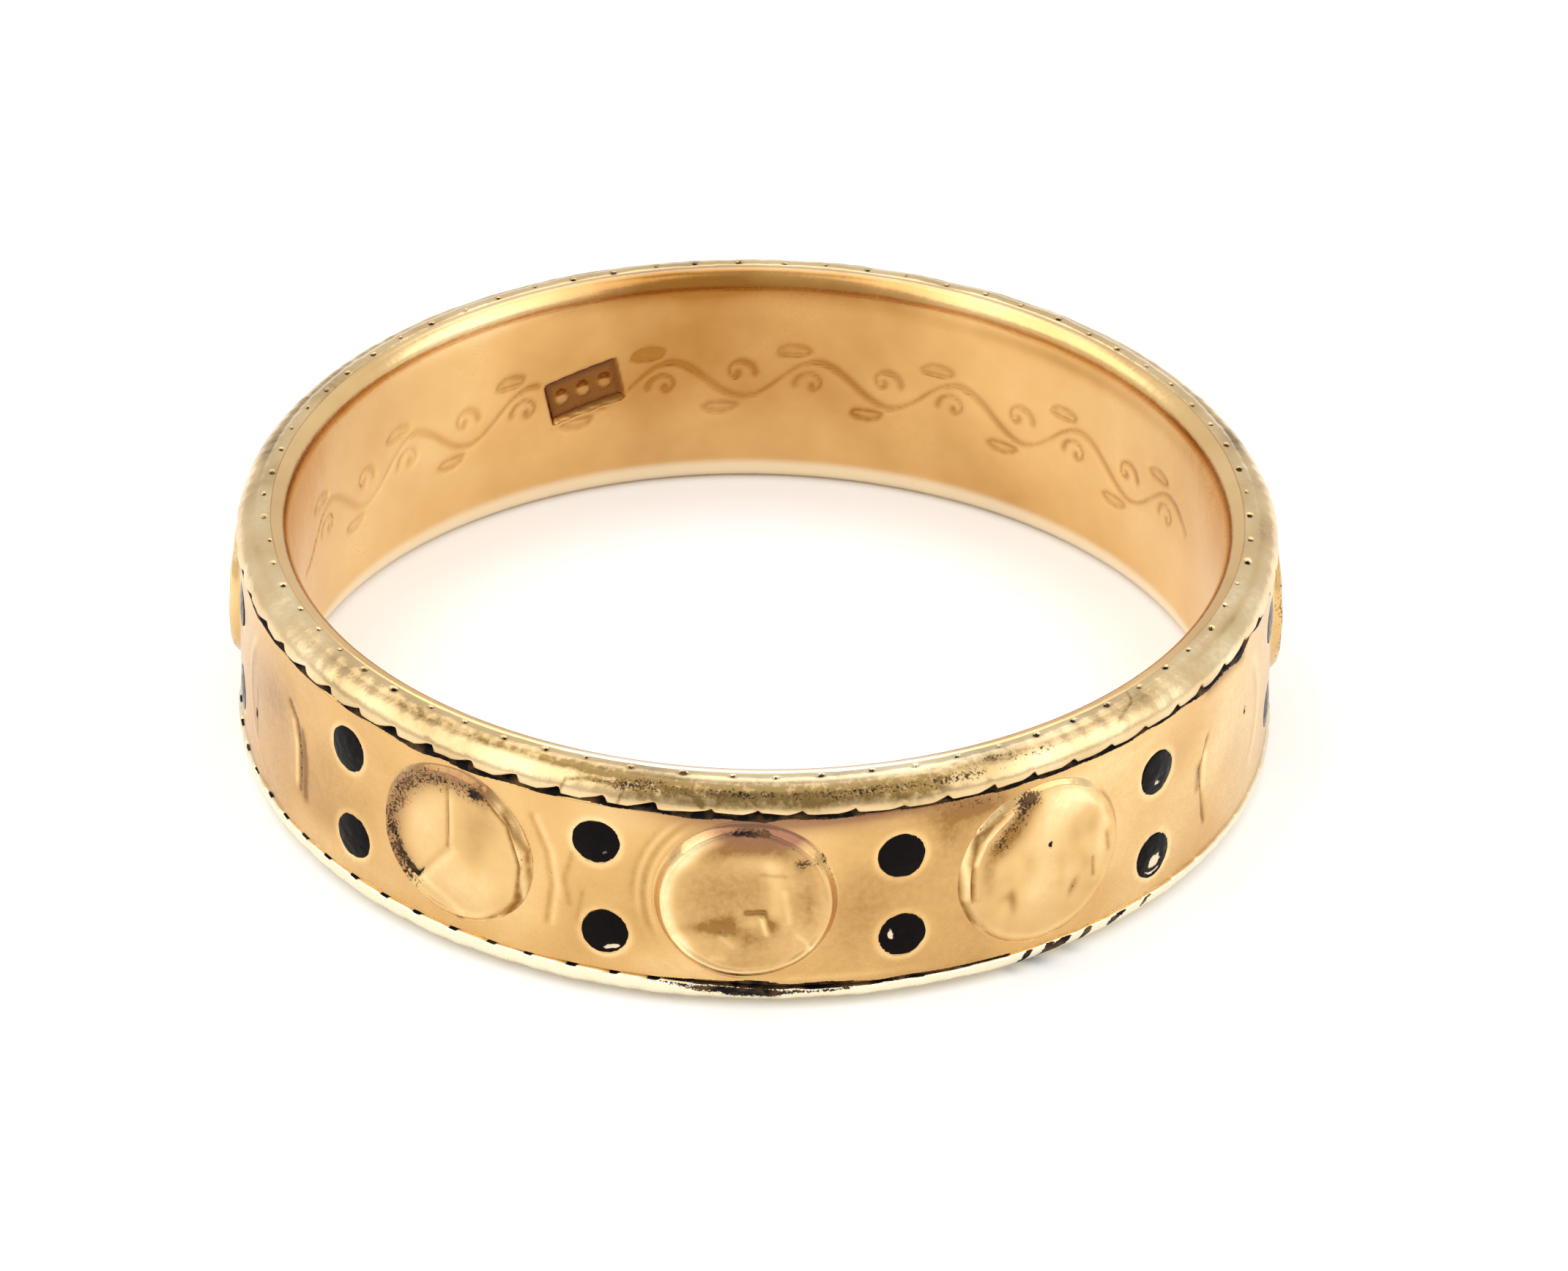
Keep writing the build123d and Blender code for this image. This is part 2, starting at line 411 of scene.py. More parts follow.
def panel():
    """The band between the borders, with a hollow under each coin and dot."""
    angle = round_ring(PANEL_COLUMNS)
    degrees = np.degrees(angle)
    share = np.sin(np.linspace(-math.pi / 2, math.pi / 2, PANEL_ROWS))[None, :]
    edge = CREVICE_HEIGHT - 0.02 + drop(degrees) * (share < 0)
    face = edge * share
    along = angle * FACE_RADIUS + 0 * face
    radius = FACE_RADIUS + 0.007 * ripple(angle, face, 1) + ridges_round_coins(angle, face)
    radius = radius + flush_marks(angle, face, "relief")
    rolled = smooth(edge - 0.05, edge, np.abs(face))
    radius = radius - np.where(face > 0, 0.045, 0.0) * rolled - hollows(angle, face)
    gap = np.where(face > 0, crevice(degrees, 1), crevice(degrees, -1))
    gap = gap * (1 + 0.35 * ripple(angle, 0, 3, 9, 90))
    # A dark line along each crevice: painted shade and dirt.
    rim = smooth(edge - 0.6 * gap - 0.012, edge - 0.6 * gap + 0.012, np.abs(face))
    grime_and_shade = 1.2 * rim * smooth(0.008, 0.02, gap) + marked(along, face, PANEL_GRIME_AND_SHADE)
    grime_and_shade = grime_and_shade + flush_marks(angle, face, "grime_and_shade")
    tone = marked(along, face, PANEL_TONE) + 0.12 * ripple(angle, face, 4, 9, 20)
    tone = tone + 0.55 * round_dots(angle, face) + flush_marks(angle, face, "tone")
    stain = np.clip(marked(along, face, PANEL_STAIN), 0, 1)
    back = np.ones((PANEL_COLUMNS, 1))
    behind = [INNER_BACK * back, OUTER_BACK * back]
    radius = np.hstack([*behind, radius, *behind[::-1]])
    under = face[:, :1] - 0.02
    height = np.hstack([under, under, face, 1.9 * back, 1.9 * back])
    values = {"grime_and_shade": np.hstack([grime_and_shade[:, :1]] * 2 + [grime_and_shade] + [1.5 * back] * 2),
              "tone": np.pad(tone, ((0, 0), (2, 2))), "stain": np.pad(stain, ((0, 0), (2, 2)))}
    return ring_piece("panel", placed(radius, angle, height), values)


def coin_angles():
    """Where the medallions stand, the first at the front."""
    return [wrapped(index * REPEAT) for index in range(REPEATS)]


def ridges_round_coins(angle, height):
    """Faint raised rings in the panel, left where each coin was worked down."""
    total = np.zeros(np.broadcast(angle, height).shape)
    for number, centre in enumerate(coin_angles()):
        x = past(angle, centre) + 0 * height
        away = np.hypot(x, height)
        if number in FLUSH_COINS:
            outer = smooth(-0.2, 0.9, x if centre > 0 else -x)
            total += 0.014 * (1 - smooth(1.3, 1.62, away)) + 0.02 * outer * bump_at(away, 1.55, 0.09)
            continue
        side = np.arctan2(height + 0 * x, x)
        uneven = 0.5 + 0.5 * np.sin(side * 2 + number * 1.7) * np.cos(side * 3 - number)
        total += (0.012 * bump_at(away, 1.93, 0.07) + 0.008 * bump_at(away, 2.12, 0.08)) * uneven
    return total


# The dots were set by eye: how far the visible ones are off their regular places
DOT_SHIFTS = {
    1: (-0.04, -0.17), 2: (-0.02, -0.02),
    3: (0.04, -0.24), 4: (0.02, -0.18),
    19: (-0.09, -0.05), 20: (0.04, -0.01),
    21: (-0.08, 0.0), 22: (0.1, -0.05),
}


def dot_places():
    """Angle and height of each enamel dot, with its node's name."""
    found = []
    for name in sorted(frame["nodes"]):
        if name.startswith("enamel_dot"):
            low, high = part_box(name)
            middle = (low + high) / 2
            across, up = DOT_SHIFTS.get(int(name[-2:]), (0, 0))
            centre = math.atan2(middle.x, -middle.y) + across / FACE_RADIUS
            found.append((name, centre, middle.z / MM - MIDDLE + up))
    return found


def hollows(angle, height):
    """The metal dips under each coin and dot, and stands up a little round each dot."""
    total = np.zeros_like(height)
    for number, centre in enumerate(coin_angles()):
        away = np.hypot(past(angle, centre), height)
        if number not in FLUSH_COINS:
            total += 0.25 * (1 - smooth(1.35, 1.45, away))
    for _, centre, level in dot_places():
        away = np.hypot(past(angle, centre), height - level)
        total += 0.08 * (1 - smooth(DOT_RADIUS - 0.06, DOT_RADIUS + 0.01, away))
        total -= 0.007 * bump_at(away, DOT_RADIUS + 0.09, 0.05)
    return total


def round_dots(angle, height):
    """1 on the rubbed metal round each dot."""
    total = np.zeros_like(height)
    for _, centre, level in dot_places():
        away = np.hypot(past(angle, centre), height - level)
        total += bump_at(away, DOT_RADIUS + 0.05, 0.07)
    return total


# The twisted borders, worn nearly flat: a broad outer band, a soft groove, and a
# narrow inner band with pits along it. The section is given as radius and height.

BORDER_PROFILE = [
    (9.752, 1.832), (9.757, 1.90), (9.738, 2.0), (9.69, 2.095), (9.62, 2.175), (9.54, 2.232),
    (9.465, 2.262), (9.40, 2.285), (9.33, 2.33), (9.26, 2.352), (9.18, 2.356), (9.12, 2.345),
    (9.08, 2.29),
]
GROOVE_AT = 0.54
PITS_AT = 0.8
# Marks along a border: x round the ring from its front, y from 0 at the outer
# edge to 1 at the bore
# Besides wear marks, this list paints light: the darker patch at the front is a painted dark reflection,
# the darker inner band at the front is painted shade, and the lighter far sides are painted light.
UPPER_TONE = [
    (-1.2, spot, 0.6, 0.34, 2.2, 0.2), (-0.95, spot, 3, 0.32, 1.2, 0.18),
    (-0.35, spot, -1.9, 0.3, 0.9, 0.16), (-0.5, spot, -2.6, 0.55, 1.2, 0.14),
    (-0.25, spot, 0.9, 0.78, 2.3, 0.22), (0.45, spot, -0.8, 0.04, 1.8, 0.06),
    (0.1, spot, -3.6, 0.25, 1.8, 0.18), (-0.25, spot, -5.9, 0.3, 1.6, 0.5),
    (0.3, spot, 6.3, 0.3, 2.6, 0.25), (0.4, spot, -11, 0.4, 2.4, 0.8), (0.5, spot, 11.8, 0.4, 1.8, 0.8),
    (-0.2, spot, -6.75, 0.4, 0.8, 0.5), (0.25, spot, -4.3, 0.3, 0.7, 0.4),
    (-0.2, spot, -2.85, 0.3, 0.6, 0.4), (0.2, spot, 3, 0.8, 0.6, 0.2),
    (-0.15, spot, 8.6, 0.4, 0.8, 0.5), (-0.3, spot, -12, 0.2, 1.8, 0.2),
    (0.2, spot, -6.8, 0.15, 1.8, 0.15), (-0.25, spot, 11.9, 0.15, 0.8, 0.2),
    (0.15, spot, 10.2, 0.2, 0.8, 0.2),
    (-0.45, spot, -6, 0.6, 3.6, 0.12), (-0.4, spot, -3.6, 0.6, 2, 0.14),
    (-0.25, spot, 4.6, 0.72, 1.2, 0.16), (0.15, spot, 10, 0.4, 2, 0.4),
    (-0.4, spot, 8.2, 0.6, 0.2, 0.2, 40), (-0.6, line, 0.03, (7.3, 0.35), (7.9, 0.6), (8, 0.85)),
    (-0.9, line, 0.03, (-3.55, 0.05), (-3.45, 0.28), (-3, 0.36), (-2.5, 0.33)),
    (-0.8, line, 0.03, (-2.45, 0), (-2.35, 0.3), (-2.5, 0.45)),
    (-0.7, line, 0.035, (-1.7, 0.42), (-1, 0.3), (-0.9, 0.1)),
    (-0.7, line, 0.03, (-2.2, 0.45), (-1.9, 0.5), (-1.2, 0.52)),
]
# The dark stipple across the front is dirt with a painted dark reflection.
UPPER_GRIME_AND_SHADE = [
    (0.53, spot, -0.4, 0.36, 1.3, 0.12), (0.5, spot, 2, 0.34, 1.2, 0.13),
    (0.44, spot, 3.9, 0.34, 0.9, 0.13), (0.45, spot, -2.4, 0.34, 0.8, 0.12),
    (0.34, spot, -1.9, 0.5, 0.6, 0.1), (0.4, spot, 5.4, 0.45, 0.6, 0.14),
    (0.35, line, 0.03, (1.1, 0.75), (1.7, 0.8)), (0.4, spot, 4.6, 0.6, 0.5, 0.1),
]
# The dark patch at the front is painted shade, a dark reflection of the floor under the ring, and the
# lighter sides are painted light.
LOWER_TONE = [
    (-0.7, spot, 1, 0, 1.4, 0.12), (0.5, spot, -6.5, 0.3, 6, 0.9), (0.5, spot, 6.6, 0.3, 6, 0.9),
]
# The dark patch and line at the front are painted shade; the slanting strokes right of the front darken the
# edge.
LOWER_GRIME_AND_SHADE = [
    (0.75, spot, -0.25, 0.12, 0.55, 0.15), (0.5, spot, 0.3, 0.1, 0.25, 0.2),
    (0.6, line, 0.07, (-1.6, 0.02), (-1, 0.08), (0.5, 0.1), (1.8, 0.03)),
    (1.1, line, 0.08, (5.3, 0.02), (5, 0.45)), (1.3, line, 0.12, (6.1, 0.03), (5.75, 0.28), (5.45, 0.6)),
    (1, line, 0.08, (5.75, 0.02), (5.6, 0.24)), (1.1, line, 0.08, (6.65, 0.02), (6.3, 0.45)),
    (1, line, 0.08, (7.5, 0), (7.15, 0.16)), (0.8, line, 0.06, (8.2, 0), (8, 0.12)),
]


def curve_through(points, count):
    """Points spread along a smooth curve through the given ones."""
    points = np.array([points[0], *points, points[-1]], float)
    step = np.linspace(0, len(points) - 3, count)
    index = np.minimum(step.astype(int), len(points) - 4)
    t = (step - index)[:, None]
    a, b, c, d = (points[index + shift] for shift in range(4))
    return 0.5 * (2 * b + (c - a) * t + (2 * a - 5 * b + 4 * c - d) * t ** 2
                  + (3 * b - a - 3 * c + d) * t ** 3)


def border(name, side, tones, dirt_and_shade, seed):
    """The upper border for side 1 and the lower one for side -1."""
    angle = round_ring(BORDER_COLUMNS)
    degrees = np.degrees(angle)
    profile = curve_through(BORDER_PROFILE, BORDER_ROWS)
    slope = np.gradient(profile, axis=0)
    slope /= np.hypot(slope[:, :1], slope[:, 1:])
    out_r, out_h = slope[:, 1], -slope[:, 0]
    across = np.linspace(0, 1, BORDER_ROWS)[None, :]
    along = angle * FACE_RADIUS + 0 * across
    rng = np.random.default_rng(SEED + seed)

    left = (1 - smooth(-14, -4, degrees)) * smooth(-130, -105, degrees)
    if side > 0:
        lobes, start = UPPER_LOBES, 0.7 - 1.3 * left
        tall = 0.08 + 0.11 * left + 0.05 * smooth(15, 30, degrees)
    else:
        lobes, start = LOWER_LOBES, -0.1
        tall = 0.062 - 0.047 * smooth(-12, 0, degrees) * (1 - smooth(90, 110, degrees))
    turns = (degrees - start) / 360 * lobes + 0.06 * ripple(angle, 0, seed, 6, 30)
    lobe = np.floor(turns + 0.5).astype(int) % lobes
    beside = turns - np.floor(turns + 0.5)
    sizes = rng.uniform(0.6, 1.15, lobes)[lobe]
    shallow = rng.uniform(0.45, 1.0, lobes)[lobe]
    worn = 0.35 + 0.65 * bump_at(degrees, 0, 22)

    reach = 0.36 + 0.18 * left if side > 0 else 0.42
    wedge = np.clip(1 + beside / reach, 0, 1) ** 1.2 * (1 - smooth(-0.01, 0.03, beside))
    notch = tall * sizes * wedge
    gap = crevice(degrees, side) * (1 + 0.3 * ripple(angle, 0, seed + 8, 9, 110))
    lift = (notch + 0.4 * gap) * (1 - smooth(0, 0.2, across))
    lean = 0.9 if side > 0 else -1.3
    slanted = (turns + lean * across) % 1.0
    groove = np.minimum(slanted, 1 - slanted)
    seam = np.exp(-(groove / 0.07) ** 2) * np.exp(-(across / 0.22) ** 2)
    pillow = 0.014 * np.sin(math.pi * slanted) * np.exp(-(across / 0.25) ** 2) * worn
    pit_phase = (turns - 0.4) % 1.0
    pit_at = PITS_AT + 0.03 * ripple(angle, 0, seed + 5, 7, 40)
    pit = np.hypot(np.minimum(pit_phase, 1 - pit_phase) * 0.87, across - pit_at)
    pit = shallow * (1 - smooth(0.03, 0.05 + 0.06 * rng.uniform(0, 1, lobes)[lobe], pit))
    swell = pillow - 0.02 * seam * shallow * worn + 0.005 * ripple(angle, across * 2, seed + 1, 12, 150)
    swell = swell + 0.007 * ripple(angle, across, seed + 2, 9, 45)
    swell = np.minimum(swell, 0.014) * (1 - smooth(0.86, 0.96, across)) - 0.06 * pit

    shift = 0 if side > 0 else drop(degrees) - 0.025
    radius = profile[:, 0] + swell * out_r - lift * 0.25
    height = profile[:, 1] + swell * out_h + lift * 0.85 + shift * (1 - smooth(0, 0.4, across))
    height = np.minimum(height, HALF_HEIGHT)

    under = np.ones_like(angle)
    radius = np.hstack([9.35 * under, 9.52 * under, radius[:, :1] - 0.03, radius,
                        9.05 * under, 9.1 * under])
    ledge = height[:, :1] - 0.008
    height = np.hstack([ledge, ledge, ledge, height, 2.15 * under, 1.95 * under])
    tone = marked(along, across, tones) + 0.2 * ripple(angle, across * 2, seed + 6, 9, 40)
    # A darker line along the groove: painted shade.
    trail = 0.4 + 0.3 * ripple(angle, 0, seed + 9, 7, 25)
    tone = tone - np.clip(trail, 0.1, 0.6) * bump_at(across, GROOVE_AT, 0.1) - 0.3 * seam * worn
    tone = tone - 0.8 * pit
    grime_and_shade = 1.2 * pit + marked(along, across, dirt_and_shade)
    if side < 0:
        # On the lower border the ledge is painted dark as shade where the gap and notches open, and pale
        # paints a washed-out reflection of the bright floor, fading towards the back.
        hidden = 1.5 * smooth(0.014, 0.034, 0.5 * gap + notch)
        pale = 0 * tone + 0.9 * (1 - smooth(70, 115, np.abs(degrees)))
    else:
        # On the upper border the ledge is always painted dark as shade in the gap, and pale paints a
        # highlight on the inner band at the front.
        hidden = 1.5 * under
        pale = 0.45 * spot(along, across, 2.0, 0.82, 4.0, 0.2)
    values = {}
    for key, value, first, last in (("grime_and_shade", grime_and_shade, hidden, 1.5 * under),
                                    ("tone", tone, under, under),
                                    ("pale", pale, pale[:, :1], 0 * under)):
        values[key] = np.hstack([first] * 3 + [value, last, last])
    points = placed(radius, angle, side * height)
    if side < 0:
        points = points[:, ::-1]
        values = {key: value[:, ::-1] for key, value in values.items()}
    return ring_piece(name, points, values)


# The bore, its lips, and the engraving inside

def lining():
    """The bore and its two rounded lips."""
    angle = round_ring(LINING_COLUMNS)
    turned = np.degrees(angle)
    from_front = np.abs(turned)
    from_back = 180 - from_front
    turn = np.linspace(0, math.pi / 2, 13)
    crown = 9.06
    lip_r = crown - (crown - BORE_RADIUS) * np.sin(turn)
    lip_h = BORE_HALF_LENGTH + (HALF_HEIGHT - BORE_HALF_LENGTH) * np.cos(turn)
    wall = np.linspace(BORE_HALF_LENGTH, -BORE_HALF_LENGTH, LINING_ROWS + 2)[1:-1]
    top_r = np.concatenate([[9.14, 9.10], lip_r])
    top_h = np.concatenate([[HALF_HEIGHT - 0.08, HALF_HEIGHT - 0.015], lip_h])
    row_r = np.concatenate([top_r, np.full(len(wall), BORE_RADIUS), top_r[::-1], [9.3, 9.3]])
    row_h = np.concatenate([top_h, wall, -top_h[::-1], [-2.0, 2.0]])
    radius = np.broadcast_to(row_r, (LINING_COLUMNS, len(row_r))).copy()
    height = np.broadcast_to(row_h, radius.shape)
    inside = (np.abs(height) < BORE_HALF_LENGTH) & (radius < BORE_RADIUS + 0.01)
    cut, line_shown = engraving(angle, height)
    tablet_cut, tablet_dirt = tablet(angle, height)
    radius += np.where(inside, cut + tablet_cut, 0)
    radius += 0.004 * ripple(angle, height, 31, 9, 24) * inside
    tablet_dirt = np.where(inside, tablet_dirt, 0.0)
    lip = smooth(BORE_HALF_LENGTH - 0.1, BORE_HALF_LENGTH + 0.1, np.abs(height))
    # A dark amber band on the back lip: a painted dark reflection.
    amber = bump_at(height, BORE_HALF_LENGTH + 0.14, 0.24) * (radius < BORE_RADIUS + 0.3)
    amber = amber * (1 - smooth(18, 32, np.abs(np.degrees(wrapped(angle + 3.06)))))
    gleam = bump_at(height, BORE_HALF_LENGTH + 0.2, 0.25)
    gleam = gleam * (bump_at(turned, -141, 13) + 0.3 * bump_at(turned, 152, 8))
    bold = 0.65 + 0.35 * bump_at(turned, 125, 25)
    tone = -0.42 * amber + 0.6 * gleam - bold * np.where(inside, line_shown, 0) - 1.2 * tablet_dirt
    tone = tone + 0.12 * ripple(angle, height, 33, 9, 12)
    # Painted shade darkens the back of the bore, and painted light lifts the upper wall near the gleam and
    # the two sides.
    tone = tone - 0.72 * bump_at(turned % 360, 184, 34) * smooth(-3.2, 0.8, height)
    tone = tone + 0.42 * bump_at(turned, 152, 12) * smooth(-0.5, 1.5, height)
    tone = tone + 0.45 * bump_at(turned, -125, 26) + 0.35 * bump_at(turned, 115, 20)
    # A band of painted shade under the lip, beneath the gleam.
    tone = tone - 0.55 * bump_at(height, BORE_HALF_LENGTH - 0.12, 0.17) * bump_at(turned, 133, 24)
    # Pale paints highlights on the lips: along the front and sides, with the gleam, on the top of the back
    # lip, and over the shade on the lower lip at the back.
    front = 1 - smooth(12, 30, from_front)
    crown_top = smooth(crown - 0.12, crown, radius) * (height > 0) * (1 - smooth(30, 60, from_back))
    pale = lip * smooth(60, 95, from_back) * (0.12 + 0.9 * front) + 0.2 * gleam * lip + 0.4 * crown_top
    pale = pale + 0.7 * lip * (height < 0) * (1 - smooth(60, 95, from_back))
    values = {"grime_and_shade": 0.25 * tablet_dirt, "stain": 1.2 * tablet_dirt, "tone": tone, "pale": pale}
    return ring_piece("lining", placed(radius, angle, height), values)


# The scroll runs from the right of the photograph, round the back, to the left
SCROLL_START = math.radians(111)
SCROLL_END = math.radians(258)
TABLET_ANGLE = math.radians(203.2)
TABLET_TILT = math.radians(12)
TABLET_LENGTH = 1.55
TABLET_WIDTH = 0.92
TABLET_HEIGHT = 0.06


def spiral(x, y, size, start, turns, flip):
    """A tendril that winds inwards from its stem."""
    t = np.linspace(0, 1, 40)
    reach = size * (1 - t) ** 0.8
    turn = start + flip * turns * 2 * math.pi * t
    return np.stack([x + reach * np.cos(turn), y + reach * np.sin(turn)], -1)


def scroll_lines():
    """A running vine: one long wave with a curled tendril and a leaf in each bend."""
    length = (SCROLL_END - SCROLL_START) * BORE_RADIUS
    wave, swing = 2.9, 0.42
    along = np.linspace(0, length, 700)
    lines = [np.stack([along, swing * np.sin(2 * math.pi * along / wave)], -1)]
    bends = int(length / (wave / 2))
    for bend in range(bends):
        x = (bend + 0.5) * wave / 2
        up = 1 if bend % 2 == 0 else -1
        start = 0.0 if up > 0 else math.pi
        lines.append(spiral(x + 0.1, -up * 0.12, 0.34, start, 0.85, up))
        leaf = np.linspace(0, math.pi, 16)
        for bulge in (0.13, -0.05):
            lines.append(np.stack([x + 0.45 - 0.5 * np.cos(leaf) * 0.6,
                                   up * (0.62 + bulge * np.sin(leaf))], -1))
    return lines


def engraving(angle, height):
    """How deep the scroll is cut at each place, and how dark its line is."""
    lines = scroll_lines()
    points = np.concatenate(lines)
    strokes = []
    for drawn in lines:
        step = np.gradient(drawn, axis=0)
        fall = step[:, 0] * 0.45 + step[:, 1] * 0.9
        strokes.append(0.036 + 0.04 * np.clip(fall / np.hypot(step[:, 0], step[:, 1]), 0, 1))
    strokes = np.concatenate(strokes)
    tree = KDTree(len(points))
    for number, (x, y) in enumerate(points):
        tree.insert((x, y, 0), number)
    tree.balance()
    x = (angle % (2 * math.pi) - SCROLL_START) * BORE_RADIUS + 0 * height
    y = height + 0 * x
    away = np.full(x.shape, 9.0)
    reach = 0.25
    length = (SCROLL_END - SCROLL_START) * BORE_RADIUS
    near = (x > -reach) & (x < length + reach) & (np.abs(y) < 1.1)
    for i, j in zip(*np.nonzero(near)):
        _, number, distance = tree.find((x[i, j], y[i, j], 0))
        away[i, j] = distance / strokes[number]
    tablet_x, tablet_y = tablet_place(angle, height)
    clear = np.maximum(np.abs(tablet_x) - TABLET_LENGTH / 2, np.abs(tablet_y) - TABLET_WIDTH / 2)
    cut = np.exp(-away ** 2) * smooth(0.05, 0.12, clear)
    faint = 0.75 + 0.25 * ripple(angle, height, 35, 7, 50)
    return 0.03 * cut, cut * np.clip(faint, 0.35, 1)


def tablet_place(angle, height):
    """Places on the bore, seen from the middle of the tablet."""
    x = -wrapped(angle - TABLET_ANGLE) * BORE_RADIUS + 0 * height
    return rotated(x, height - TABLET_HEIGHT + 0 * x, TABLET_TILT)


def tablet(angle, height):
    """A sunk tablet with three plain pellets."""
    x, y = tablet_place(angle, height)
    outside = np.maximum(np.abs(x) - TABLET_LENGTH / 2, np.abs(y) - TABLET_WIDTH / 2)
    sunk = 1 - smooth(-0.07, 0.03, outside)
    pellets = sum(spot(x, y, place, 0, 0.17, 0.17) for place in (-0.46, 0.0, 0.46))
    pellets = smooth(0.25, 0.75, pellets)
    frame_line = bump_at(outside, 0.06, 0.05)
    depth = 0.09 * sunk - 0.05 * pellets * sunk - 0.015 * frame_line
    inner = 1 - smooth(-0.2, -0.1, outside)
    return depth, np.clip(sunk - 0.25 * inner - 0.6 * pellets, 0, 1)


# Medallions: flat coins, each with its own worn marks and painted shade and highlights. Marks are placed
# from the middle of the coin's regular place.

COIN_LEVEL = 9.765
FRONT_COIN = {
    "middle": (-0.05, 0.0), "radius": 1.63, "rim": 0.045, "dish": 0.06,
    "relief": [
        (0.02, arc, 1.45, 0.12, 105, 150), (0.02, line, 0.14, (0.38, 0.8), (0.52, 0.07), (0.47, -0.21)),
        (-0.03, line, 0.035, (-0.05, -0.28), (0.28, -0.25)), (-0.02, spot, 0.05, -0.76, 0.25, 0.2),
        (-0.03, spot, -0.5, -0.6, 0.3, 0.13, -10), (0.025, line, 0.05, (0.24, -0.4), (0.32, -0.72)),
        (0.02, line, 0.06, (-0.49, -0.78), (-0.28, -0.99)), (-0.02, spot, 0.43, -0.56, 0.1, 0.12),
        (0.012, line, 0.06, (0.9, -0.73), (1.17, -0.97)), (-0.02, spot, 1, 0, 0.2, 0.6),
        (0.015, spot, 0.75, 0, 0.14, 0.5), (-0.03, arc, 1.52, 0.09, 238, 305),
    ],
    # Besides tarnish, these marks paint light: the dark arcs inside the top of the rim are painted shade,
    # and the pale arcs on the rim and the pale lines on the raised relief are painted highlights.
    "tone": [
        (-0.5, arc, 1.2, 0.2, 52, 132), (-0.5, spot, 0, 1.16, 0.6, 0.2),
        (-0.58, spot, -0.05, -0.1, 1.3, 1.3), (-0.15, spot, -0.8, 0, 0.4, 0.7),
        (-0.25, spot, 0, -1.3, 0.8, 0.2),
        (-0.45, spot, 1.08, 0, 0.2, 0.7), (0.4, line, 0.16, (0.38, 0.75), (0.5, 0.3), (0.49, -0.2)),
        (0.35, line, 0.06, (0.65, 0.19), (0.74, -0.44)), (0.8, line, 0.05, (0.24, -0.4), (0.32, -0.72)),
        (0.15, arc, 1.53, 0.09, -65, 62), (1, arc, 1.52, 0.13, 113, 225),
        (0.5, arc, 1.38, 0.12, 108, 150), (0.6, arc, 1.55, 0.09, 215, 330),
        (0.35, line, 0.07, (-0.49, -0.78), (-0.28, -0.99)), (0.35, line, 0.06, (0.9, -0.73), (1.17, -0.97)),
        (0.3, line, 0.06, (-0.65, -1.23), (-0.43, -1.25)), (-0.4, spot, -0.9, -0.6, 0.4, 0.12),
        (-0.6, spot, -0.55, -0.6, 0.36, 0.17, -8), (-0.6, spot, -0.36, -0.5, 0.16, 0.2, 20),
        (-0.45, spot, 0.03, -0.85, 0.3, 0.2), (0.25, spot, 0.05, -0.5, 0.16, 0.14),
        (-0.4, line, 0.04, (0.23, 0.58), (0.65, 0.54)), (-1.2, line, 0.04, (-0.05, -0.27), (0.28, -0.24)),
        (-0.6, line, 0.05, (0.28, -0.24), (0.4, -0.5)), (-0.7, spot, 0.45, -0.56, 0.1, 0.12),
        (-0.55, spot, 0.92, 0.8, 0.2, 0.2), (0.15, spot, 0, 0.75, 0.5, 0.15),
        (-0.8, arc, 1.52, 0.18, 62, 112),
    ],
    "grime_and_shade": [
        (0.42, line, 0.08, (-0.23, 1.48), (0.32, 1.46)), (0.5, spot, 0.98, 0.83, 0.22, 0.16),
        (0.35, spot, 1.3, 1.05, 0.12, 0.24), (0.5, spot, 0.8, 1.17, 0.05, 0.05),
        (0.33, line, 0.08, (1.35, 0.9), (1.6, 0.4)), (0.4, spot, -0.1, 1.5, 0.6, 0.14),
    ],
    "stain": [
        (1.3, spot, 0.05, 1.55, 1.05, 0.34), (0.9, spot, 0.85, 1.42, 0.5, 0.28),
        (0.25, spot, 0, 1.15, 0.8, 0.2),
    ],
    "uneven": 0.005,
}
LEFT_EDGE = ((0.51, 1.4), (1.06, 0.87), (1.33, 0.1), (1.26, -0.71), (0.99, -1.15))
RIGHT_EDGE = ((-0.87, 1.23), (-1.33, 0.88), (-1.46, 0.38), (-1.44, -0.42))
